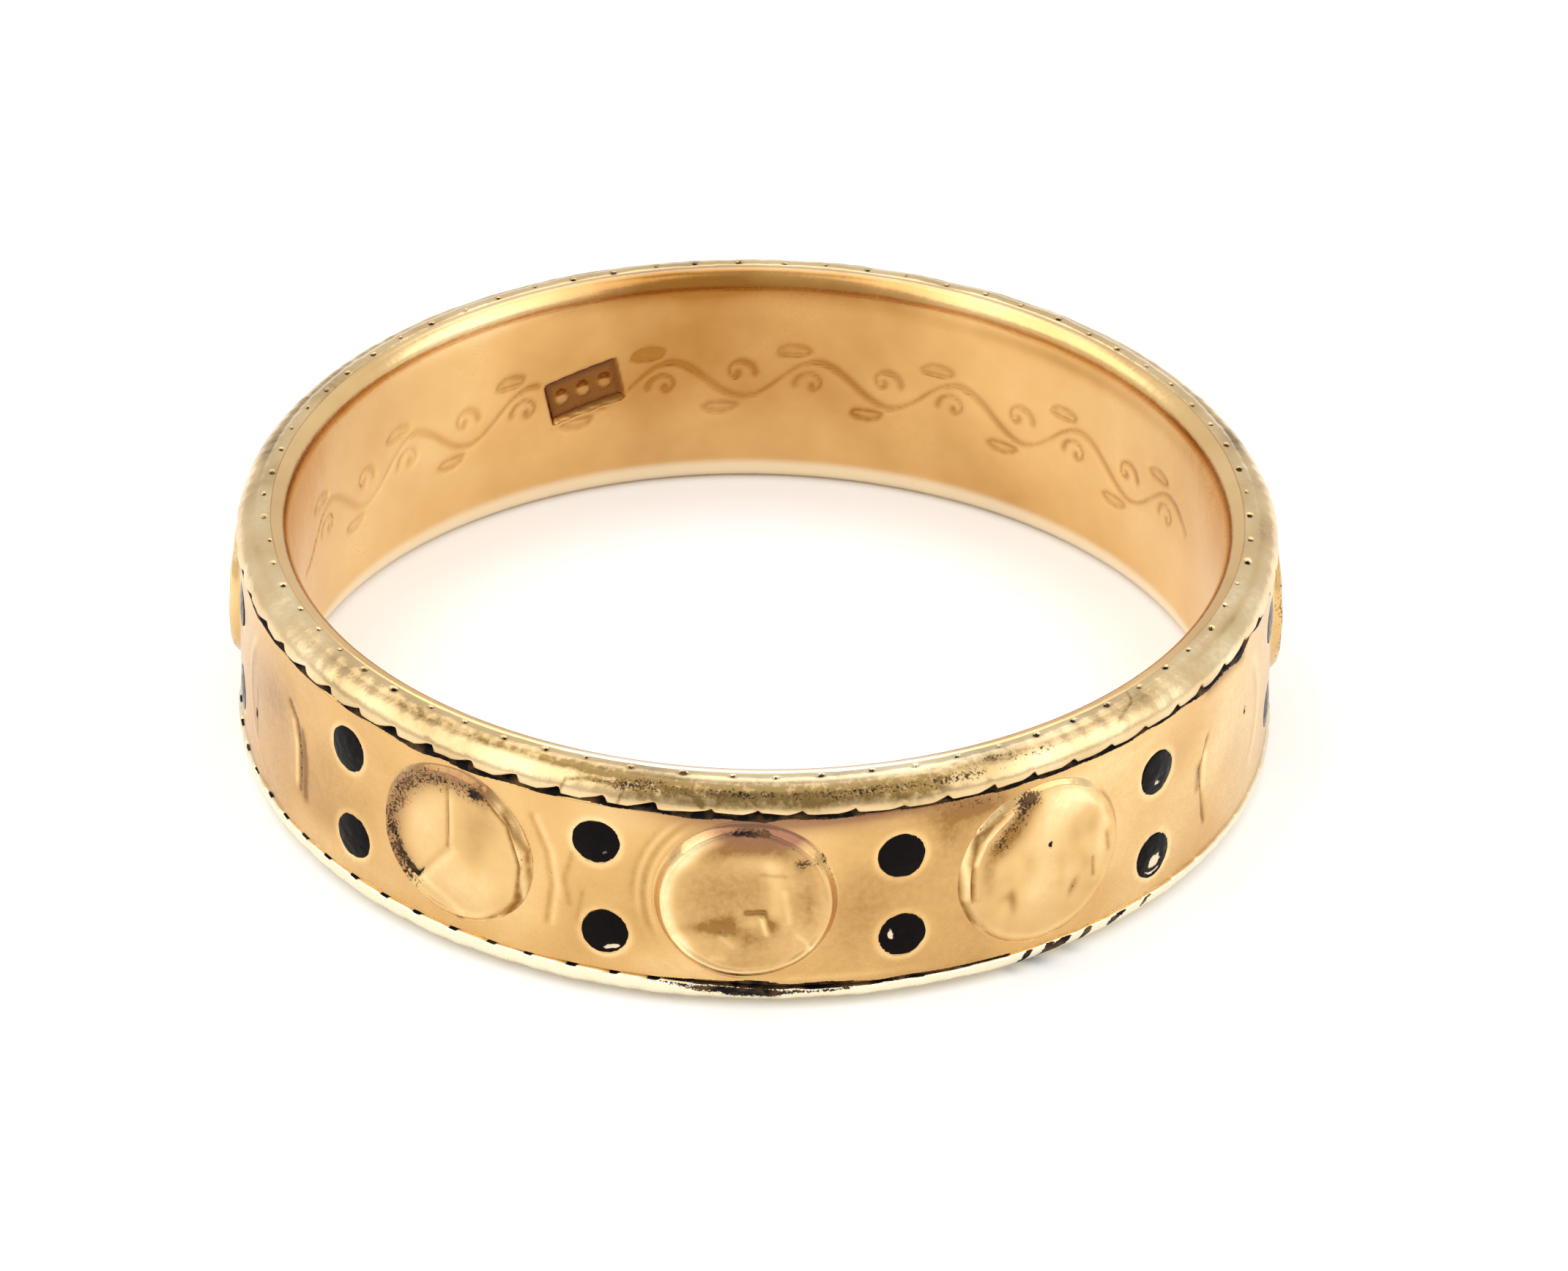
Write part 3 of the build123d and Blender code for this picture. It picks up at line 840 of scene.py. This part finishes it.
LEFT_COIN = {
    "middle": (-0.13, 0.07), "radius": 1.58, "rim": 0.03, "dish": 0.0, "bend": 0.3,
    "relief": [
        (-0.035, line, 0.05, *LEFT_EDGE),
        (0.03, line, 0.06, (0.6, 1.45), (1.15, 0.92), (1.43, 0.1), (1.37, -0.7)),
        (-0.02, line, 0.035, (-0.24, 1.28), (-0.24, 0)), (0.02, line, 0.06, (-0.14, 1.2), (-0.14, 0)),
        (-0.02, line, 0.08, (-1.47, 0.04), (-1.23, -0.57), (-0.91, -0.86)),
        (0.03, spot, 0.3, -0.7, 0.8, 0.5), (-0.015, spot, 0.5, 0.5, 0.4, 0.4),
        (-0.02, spot, -0.75, 0.3, 0.45, 0.7),
    ],
    # Besides tarnish, these marks paint light: the dark lines along the raised right edge are painted shade
    # with pale painted highlights beside them, and a dark and a pale line near the top paint the shade and
    # highlight of a small ridge.
    "tone": [
        (-0.6, line, 0.045, (-0.24, 1.28), (-0.24, 0)), (0.3, line, 0.06, (-0.15, 1.2), (-0.15, 0)),
        (0.25, spot, -0.75, 0.3, 0.5, 0.7), (0.35, spot, 0.3, -0.7, 0.8, 0.5),
        (-0.3, line, 0.08, (-0.2, 0), (-0.88, -0.84)), (0.3, line, 0.1, (-0.1, -0.1), (-0.8, -0.95)),
        (-1.1, line, 0.055, *LEFT_EDGE),
        (-0.9, line, 0.05, (0.99, 1.13), (1.43, 0.41), (1.49, -0.28), (1.4, -0.8)),
        (-0.5, line, 0.05, (1.3, 0.95), (1.6, 0.3), (1.62, -0.3)),
        (0.4, line, 0.045, (0.85, 1.22), (1.24, 0.7), (1.41, 0.1), (1.36, -0.6)),
        (0.3, line, 0.04, (1.1, 1.2), (1.53, 0.4), (1.56, -0.3)),
        (-0.25, spot, 0.5, 0.8, 0.4, 0.4), (-0.7, arc, 1.5, 0.26, 60, 215),
        (-0.25, spot, 0.35, 0.1, 0.2, 0.5), (-0.3, spot, 1, -1, 0.25, 0.4),
        (0.3, line, 0.08, (-0.75, -0.9), (0.2, -1.4), (0.8, -1.2)),
    ],
    "grime_and_shade": [
        (0.475, line, 0.32, (-1.05, -0.97), (-1.5, -0.33), (-1.52, 0.23), (-1.25, 0.95),
         (-0.7, 1.32), (-0.13, 1.36), (0.5, 1.28)),
        (0.2, line, 0.06, (-1.5, 0.04), (-1.25, -0.57), (-0.93, -0.86)),
        (0.55, line, 0.04, (-1.1, -0.75), (-0.91, -0.88), (-0.75, -0.69)),
        (0.9, spot, 0.38, 1.33, 0.1, 0.08), (0.3, line, 0.06, (0.9, 1.1), (1.36, 0.4), (1.42, -0.3)),
    ],
    "stain": [(0.65, arc, 1.5, 0.3, 62, 220)],
    "uneven": 0.004,
}
RIGHT_COIN = {
    "middle": (0.05, -0.05), "radius": 1.68, "rim": 0.02, "dish": -0.04, "bend": 0.4,
    "relief": [
        (-0.03, line, 0.05, *RIGHT_EDGE, (-1.2, -1.1)),
        (0.025, line, 0.05, (-0.65, 1.25), (-1.2, 0.78), (-1.38, 0.3), (-1.34, -0.4)),
        (-0.025, line, 0.12, (-0.3, 1.3), (-0.62, 0.95), (-1, 0.6)), (0.025, spot, 0.5, 1, 0.6, 0.4),
        (-0.025, spot, -0.58, -0.62, 0.1, 0.32, 5), (-0.025, spot, 0.7, -0.82, 0.1, 0.22, -20),
        (0.015, spot, -0.05, -0.5, 0.5, 0.25), (-0.015, spot, 0.7, 0.3, 0.2, 0.5, -10),
        (-0.02, line, 0.04, (1.14, -0.32), (1.16, -0.78)), (-0.05, spot, 0.16, 0.3, 0.04, 0.045),
        (-0.008, line, 0.07, (0.69, 1.41), (1.4, 0.94), (1.72, 0.43)),
        (0.015, spot, 0.45, -0.4, 0.15, 0.4, 10), (-0.015, spot, 0.25, -0.2, 0.12, 0.4, 15),
    ],
    # Besides tarnish, these marks paint light: the dark lines along the raised left edge are painted shade,
    # and the pale lines beside them are painted highlights.
    "tone": [
        (0.15, spot, 0.2, 0, 1.4, 1.5), (0.8, spot, 0.55, 1.2, 0.6, 0.35),
        (-0.9, line, 0.05, (-0.82, 1.53), (-1.54, 0.93), (-1.7, 0.5), (-1.64, -0.37), (-1.39, -1.01)),
        (-0.9, line, 0.05, *RIGHT_EDGE),
        (-0.45, line, 0.05, (-1.78, 0.4), (-1.8, -0.4), (-1.6, -1)),
        (0.6, line, 0.045, (-0.65, 1.25), (-1.2, 0.8), (-1.4, 0.35)),
        (0.6, line, 0.045, (-0.85, 1.38), (-1.42, 0.9), (-1.58, 0.4), (-1.55, -0.4)),
        (-1, line, 0.2, (-0.25, 1.3), (-0.6, 0.95), (-0.95, 0.5)),
        (-0.5, spot, -0.5, 0.75, 0.35, 0.22, 40),
        (-0.6, spot, -1.15, 0.1, 0.16, 0.45), (-0.2, line, 0.05, (0.69, 1.41), (1.4, 0.94), (1.72, 0.43)),
        (0.4, line, 0.07, (0.75, 1.2), (1.25, 0.8), (1.45, 0.3)),
        (-0.75, spot, -0.6, -0.68, 0.09, 0.24, 8), (-0.4, spot, -0.72, -0.55, 0.16, 0.1),
        (-0.75, spot, 0.7, -0.8, 0.08, 0.2, -22), (-0.35, spot, 0.72, 0.25, 0.22, 0.4, -12),
        (-0.8, line, 0.035, (1.14, -0.32), (1.16, -0.7)), (-0.6, line, 0.05, (1.44, 0.1), (1.48, -0.25)),
        (-0.3, spot, 1.07, 0.44, 0.16, 0.2), (-0.3, spot, 0.42, -0.15, 0.14, 0.4, 10),
        (-0.25, spot, -0.3, 0.05, 0.14, 0.3, 20), (-0.25, spot, 0.95, -0.35, 0.12, 0.35, 15),
        (0.25, spot, 0.55, -0.5, 0.12, 0.4, 8), (0.3, spot, 1.3, 0.1, 0.12, 0.5),
        (0.25, spot, -0.1, -0.6, 0.4, 0.3, 25), (0.25, spot, 0.1, 0.75, 0.3, 0.3),
    ],
    "grime_and_shade": [
        (0.46, line, 0.25, (-0.3, 1.36), (-0.45, 1.12), (-0.72, 0.85), (-0.9, 0.6)),
        (1.3, spot, 0.16, 0.3, 0.045, 0.05), (0.33, spot, -0.45, 1.45, 0.5, 0.2),
        (0.5, spot, 0.22, 0.38, 0.06, 0.03, 30), (0.3, line, 0.05, (-0.9, 1.3), (-1.45, 0.9), (-1.6, 0.4)),
        (0.34, line, 0.04, (0.75, -0.65), (0.68, -0.9)),
    ],
    "stain": [(0.2, spot, -0.5, 1.1, 0.4, 0.3)],
    "uneven": 0.009,
}
# Two medallions lie nearly flush with the panel: dark streaks of painted shade, with painted highlights
# beside them, and a soft rim with a painted highlight show where they end
FAR_LEFT_WEAR_AND_SHADING = {
    "relief": [
        (-0.03, line, 0.07, (0.73, 0.86), (1.02, 0.56), (1.15, 0.03), (1.1, -0.88)),
        (-0.02, line, 0.06, (1.3, 0.3), (1.36, -0.2), (1.3, -0.9)),
    ],
    "tone": [
        (-1.3, line, 0.06, (0.73, 0.86), (1.02, 0.56), (1.15, 0.03), (1.1, -0.88)),
        (-0.9, line, 0.1, (1.22, 0.45), (1.33, 0), (1.28, -0.95)),
        (0.4, line, 0.06, (1, 0.2), (1, -0.7)), (-0.7, line, 0.04, (-1.03, 0.1), (-1.06, -0.9)),
        (-0.6, spot, 1.24, -0.3, 0.1, 0.5), (0.5, line, 0.06, (0.86, 0.5), (0.98, 0), (0.96, -0.8)),
        (0.4, arc, 1.57, 0.09, 130, 230), (-0.3, arc, 1.38, 0.1, 140, 220),
        (-0.2, spot, 0, 0.5, 0.7, 0.4),
    ],
    "grime_and_shade": [
        (0.9, spot, -1.1, -0.5, 0.09, 0.14), (0.3, spot, 1.24, -0.2, 0.06, 0.4),
        (0.5, line, 0.05, (0.8, 0.8), (1.02, 0.5), (1.15, 0), (1.12, -0.6)),
    ],
}
FAR_RIGHT_WEAR_AND_SHADING = {
    "relief": [
        (-0.03, line, 0.06, (-1.05, 0.65), (-1.15, 0.3), (-1.3, 0.05), (-1.15, -0.55), (-1.08, -1.1)),
    ],
    "tone": [
        (-1.3, line, 0.05, (-1.05, 0.65), (-1.22, 0.23), (-1.3, 0.05), (-1.2, -0.55), (-1.05, -1.2)),
        (-0.9, line, 0.08, (-1.34, 0.15), (-1.36, -0.35)), (0.4, line, 0.07, (-1.12, 0.4), (-1.16, -0.4)),
        (0.4, arc, 1.57, 0.09, -50, 50), (-0.3, arc, 1.38, 0.1, -40, 40), (-0.2, spot, 0.1, -0.5, 0.7, 0.4),
    ],
    "grime_and_shade": [
        (0.9, spot, 0.65, 0.24, 0.07, 0.14), (0.48, line, 0.05, (-1.1, 0.45), (-1.3, 0.05), (-1.22, -0.4)),
    ],
}
FLUSH_COINS = {2: FAR_RIGHT_WEAR_AND_SHADING, 9: FAR_LEFT_WEAR_AND_SHADING}
# How far the marks lie from the regular places: in millimetres, and as an angle
FLUSH_SHIFT = 0.05
SHOWN_TURN = math.radians(-0.3)


def hidden_coin(number):
    """Marks of the same kinds, wear with painted rim shade and a painted rim highlight, for a coin that the
    photograph doesn't show.
    """
    rng = np.random.default_rng(SEED + 100 + number)
    start = rng.uniform(0, 300)
    relief, tone = [], []
    for _ in range(6):
        place = (*rng.uniform(-0.9, 0.9, 2), *rng.uniform(0.12, 0.45, 2), rng.uniform(0, 180))
        relief.append((rng.uniform(-0.03, 0.03), spot, *place))
        tone.append((rng.uniform(-0.7, 0.5), spot, *place))
    # A dark arc inside the rim is painted shade, and a pale arc on the rim is a painted highlight.
    tone.append((-0.8, arc, rng.uniform(1.1, 1.35), 0.14, start, start + 90))
    tone.append((0.5, arc, 1.52, 0.08, start + 60, start + 230))
    grime_and_shade = [(0.45, arc, 1.5, 0.14, start, start + rng.uniform(40, 90))]
    grime_and_shade += [(0.8, spot, *rng.uniform(-1.1, 1.1, 2), 0.05, 0.05) for _ in range(3)]
    return {
        "middle": (0, 0), "radius": 1.64, "rim": rng.uniform(0.02, 0.05),
        "dish": rng.uniform(-0.04, 0.1), "relief": relief, "tone": tone, "grime_and_shade": grime_and_shade,
        "stain": [(0.5, spot, *rng.uniform(-1.2, 1.2, 2), 0.4, 0.25)], "uneven": 0.006,
    }


def dents(x, y, seed):
    """Worn unevenness of a coin's face, about plus or minus 1."""
    rng = np.random.default_rng(SEED + 300 + seed)
    total = 0 * x
    for _ in range(14):
        turn, waves, phase = rng.uniform(0, math.pi), rng.uniform(5, 14), rng.uniform(0, 2 * math.pi)
        total = total + np.sin(waves * (x * math.cos(turn) + y * math.sin(turn)) + phase)
    return total / math.sqrt(14)


def coin(name, centre, wear_and_shading, spokes, rings):
    """A coin whose back is sunk in the panel, at an angle on the ring."""
    rim_at = wear_and_shading["radius"] - 0.11
    reach = np.concatenate([np.linspace(0.05, rim_at - 0.2, rings // 2, endpoint=False),
                            np.linspace(rim_at - 0.2, wear_and_shading["radius"] + 0.12, rings // 2)])
    turn = np.linspace(0, 2 * math.pi, spokes, endpoint=False)
    reach, turn = reach[:, None], turn[None, :]
    x = wear_and_shading["middle"][0] + reach * np.cos(turn)
    y = wear_and_shading["middle"][1] + reach * np.sin(turn)
    away = reach + 0 * turn

    follow = np.sqrt(FACE_RADIUS ** 2 - x ** 2)
    raised = 1 - smooth(rim_at, wear_and_shading["radius"] + 0.05, away)
    flat = COIN_LEVEL - wear_and_shading.get("bend", 0) * x ** 2 / (2 * FACE_RADIUS)
    level = raised * flat + (1 - raised) * follow
    level += wear_and_shading["rim"] * bump_at(away, rim_at, 0.065)
    level -= wear_and_shading["dish"] * np.clip(1 - (away / (rim_at - 0.06)) ** 2, 0, 1)
    level += marked(x, y, wear_and_shading["relief"]) * (1 - smooth(wear_and_shading["radius"], wear_and_shading["radius"] + 0.1, away))
    level += wear_and_shading["uneven"] * dents(x, y, len(wear_and_shading["tone"])) * raised
    level -= 0.06 * smooth(wear_and_shading["radius"] + 0.05, wear_and_shading["radius"] + 0.12, away)
    level = np.minimum(level, COIN_TOP)

    values = {key: marked(x, y, wear_and_shading[key]) for key in ("grime_and_shade", "tone", "stain")}
    return disc(name, (x, y, level), COIN_BACK, wear_and_shading["middle"], values, centre)


def disc(name, places, back, middle, values, centre, level=0):
    """A closed disc that faces outwards at an angle and height on the ring.

    Its places are given as across, up and out, in rows from the middle outwards.
    """
    across, up, out = places
    skirt = np.stack([across[-1:], up[-1:], 0 * out[-1:] + back], -1)
    local = np.concatenate([np.stack(places, -1), skirt]).reshape(-1, 3)
    local = np.concatenate([local, [[*middle, out[0].mean()], [*middle, back]]])
    right, front = rotated(local[:, 0], local[:, 2], centre)
    points = np.stack([right, -front, local[:, 1] + level + MIDDLE], -1) * MM
    values = {key: np.concatenate([value.ravel(), value[-1], [value[0].mean(), 0]])
              for key, value in values.items()}
    rows, spokes = out.shape
    return new_mesh(name, points, disc_faces(rows + 1, spokes), values)


def disc_faces(rows, spokes):
    """Faces of a closed disc: rows of spokes from the middle outwards, then the back."""
    index = np.arange(rows * spokes).reshape(rows, spokes)
    beside = np.roll(index, -1, 1)
    quads = np.stack([index[:-1], index[1:], beside[1:], beside[:-1]], -1)
    top, back = rows * spokes, rows * spokes + 1
    faces = quads.reshape(-1, 4).tolist()
    faces += [[top, index[0, i], beside[0, i]] for i in range(spokes)]
    faces += [[back, beside[-1, i], index[-1, i]] for i in range(spokes)]
    return faces


# Enamel dots

def enamel_dot(name, centre, level, seed, chips_and_glints):
    """A low dome of enamel with an uneven edge, at an angle and height on the ring."""
    rng = np.random.default_rng(SEED + 500 + seed)
    reach = np.array([0.03, 0.08, 0.13, 0.18, 0.23, 0.27, 0.31, 0.34, 0.37, 0.39, 0.405, 0.418, 0.427])
    reach = reach[:, None] * 1.04
    turn = np.linspace(0, 2 * math.pi, DOT_SPOKES, endpoint=False)[None, :]
    uneven = 0
    for size, waves in ((0.014, 2), (0.014, 3), (0.01, 5), (0.008, 9), (0.007, 14)):
        uneven = uneven + size * np.sin(waves * turn + rng.uniform(0, 2 * math.pi))
    x, y = reach * (1 + uneven) * np.cos(turn), reach * (1 + uneven) * np.sin(turn)
    share = reach / reach[-1] + 0 * turn
    tilt = rng.uniform(-0.03, 0.03, 2)
    dome = 0.03 * (1 - share ** 2) + tilt[0] * x + tilt[1] * y
    out = np.sqrt(FACE_RADIUS ** 2 - x ** 2) + 0.003 + dome
    chip_and_glint_mask = marked(x, y, chips_and_glints)
    out = np.minimum(out - 0.03 * np.clip(chip_and_glint_mask, 0, 1), DOT_TOP)
    return disc(name, (x, y, out), DOT_BACK, (0, 0), {"chip_and_glint": chip_and_glint_mask}, centre, level)


# Floor, light and camera

def floor():
    bpy.ops.mesh.primitive_plane_add(size=6, location=(0, 0, 0))
    plane = bpy.context.object
    plane.name = "floor"
    shader = Shader("floor")
    plane.data.materials.append(shader.connect(Base_Color=(0.98, 0.98, 0.98, 1), Roughness=0.9))


ROOM_LIGHT = 0.85
LIGHT_DISTANCE = 0.5


def aimed(azimuth, elevation):
    """A direction from the ring. The azimuth is counted from the front towards +X."""
    turn, lift = math.radians(azimuth), math.radians(elevation)
    return Vector((math.sin(turn) * math.cos(lift), -math.cos(turn) * math.cos(lift), math.sin(lift)))


def softbox(name, azimuth, elevation, size, radiance):
    """A large rectangular light that faces the ring."""
    data = bpy.data.lights.new(name, "AREA")
    data.shape = "RECTANGLE"
    data.size, data.size_y = size
    data.energy = radiance * math.pi * size[0] * size[1]
    light = bpy.data.objects.new(name, data)
    bpy.context.scene.collection.objects.link(light)
    light.location = aimed(azimuth, elevation) * LIGHT_DISTANCE
    light.rotation_euler = aimed(azimuth, elevation).to_track_quat("Z", "Y").to_euler()


def lights():
    world = bpy.data.worlds.new("studio")
    world.use_nodes = True
    background = world.node_tree.nodes["Background"]
    background.inputs["Color"].default_value = (1, 1, 1, 1)
    background.inputs["Strength"].default_value = ROOM_LIGHT
    bpy.context.scene.world = world
    softbox("key_left", -75, 46, (0.6, 0.5), 1.2)
    softbox("key_right", 68, 42, (0.5, 0.5), 1.15)
    softbox("top", 180, 76, (0.45, 0.35), 1.1)


# Where the photograph was taken from, fitted to the ring in it
CAMERA_DISTANCE = 171.9
CAMERA_ELEVATION = math.radians(32.05)
CAMERA_ROLL = math.radians(1.06)
AIM = (0.53, 0.0, -0.47)
LENS = 209.4
SENSOR = 36.0


def camera():
    data = bpy.data.cameras.new("camera")
    data.sensor_width = SENSOR
    data.lens = LENS
    data.clip_start = 0.01
    eye = Vector((0, -math.cos(CAMERA_ELEVATION), math.sin(CAMERA_ELEVATION))) * CAMERA_DISTANCE
    ahead = (Vector(AIM) - eye).normalized()
    right = ahead.cross(Vector((0, 0, 1))).normalized()
    up = right.cross(ahead)
    rolled, upright = rotated(right, up, CAMERA_ROLL)
    matrix = Matrix((rolled, upright, -ahead)).transposed().to_4x4()
    matrix.translation = (eye + Vector((0, 0, MIDDLE))) * MM
    made = bpy.data.objects.new("camera", data)
    bpy.context.scene.collection.objects.link(made)
    made.matrix_world = matrix
    bpy.context.scene.camera = made


def build_ring():
    deep = (0.3, 0.15, 0.04)
    panel_gold = gold("panel_gold", (0.68, 0.415, 0.16), deep, (0.93, 0.71, 0.37), polish=0.25)
    border_gold = gold("border_gold", (0.7, 0.505, 0.26), (0.24, 0.15, 0.05), (0.9, 0.74, 0.47),
                       polish=0.25, grain=1.5, mottle=0.4)
    lining_gold = gold("lining_gold", (0.73, 0.445, 0.17), (0.36, 0.155, 0.03), (0.98, 0.72, 0.36),
                       polish=0.2, streaks=0.7, grain=0.6, mottle=0.0, stained=(0.16, 0.06, 0.018))
    coin_gold = gold("coin_gold", (0.7, 0.45, 0.185), deep, (0.98, 0.78, 0.42), polish=0.22)
    dressed(panel(), panel_gold, "gold", "band")
    dressed(border("border_upper", 1, UPPER_TONE, UPPER_GRIME_AND_SHADE, 11), border_gold, "gold", "band")
    dressed(border("border_lower", -1, LOWER_TONE, LOWER_GRIME_AND_SHADE, 23), border_gold, "gold", "band")
    dressed(lining(), lining_gold, "gold", "band")

    shown = {0: FRONT_COIN, 1: RIGHT_COIN, 10: LEFT_COIN}
    for number, centre in enumerate(coin_angles()):
        if number in FLUSH_COINS:
            continue
        fine = number in shown
        wear_and_shading = shown.get(number) or hidden_coin(number)
        turned = centre + (SHOWN_TURN if fine else 0.0)
        divisions = FINE_COIN if fine else PLAIN_COIN
        made = coin(f"medallion_{number + 1:02d}", turned, wear_and_shading, *divisions)
        dressed(made, coin_gold, "gold", "band")

    glass = enamel()
    # Pale marks on the dots: on dot 4 a spot where the enamel has flaked off, on dots 2, 3, 21 and 22
    # painted glints.
    glints = {2: [(1.2, spot, -0.22, 0.05, 0.05, 0.1)],
              22: [(1.1, spot, 0.14, -0.28, 0.16, 0.05, 15)],
              21: [(0.5, spot, 0.16, -0.2, 0.1, 0.06, 30)],
              3: [(0.55, spot, 0.0, -0.18, 0.12, 0.1, 40)],
              4: [(1.3, spot, 0.02, -0.12, 0.16, 0.13, 20), (0.8, arc, 0.36, 0.03, 230, 300)]}
    for number, (node, centre, level) in enumerate(dot_places()):
        made = enamel_dot(f"{node}_domed", centre, level, number, glints.get(number + 1, []))
        dressed(made, glass, "black_enamel", node)


build_ring()
floor()
lights()
camera()
bpy.context.scene.view_settings.view_transform = "Standard"
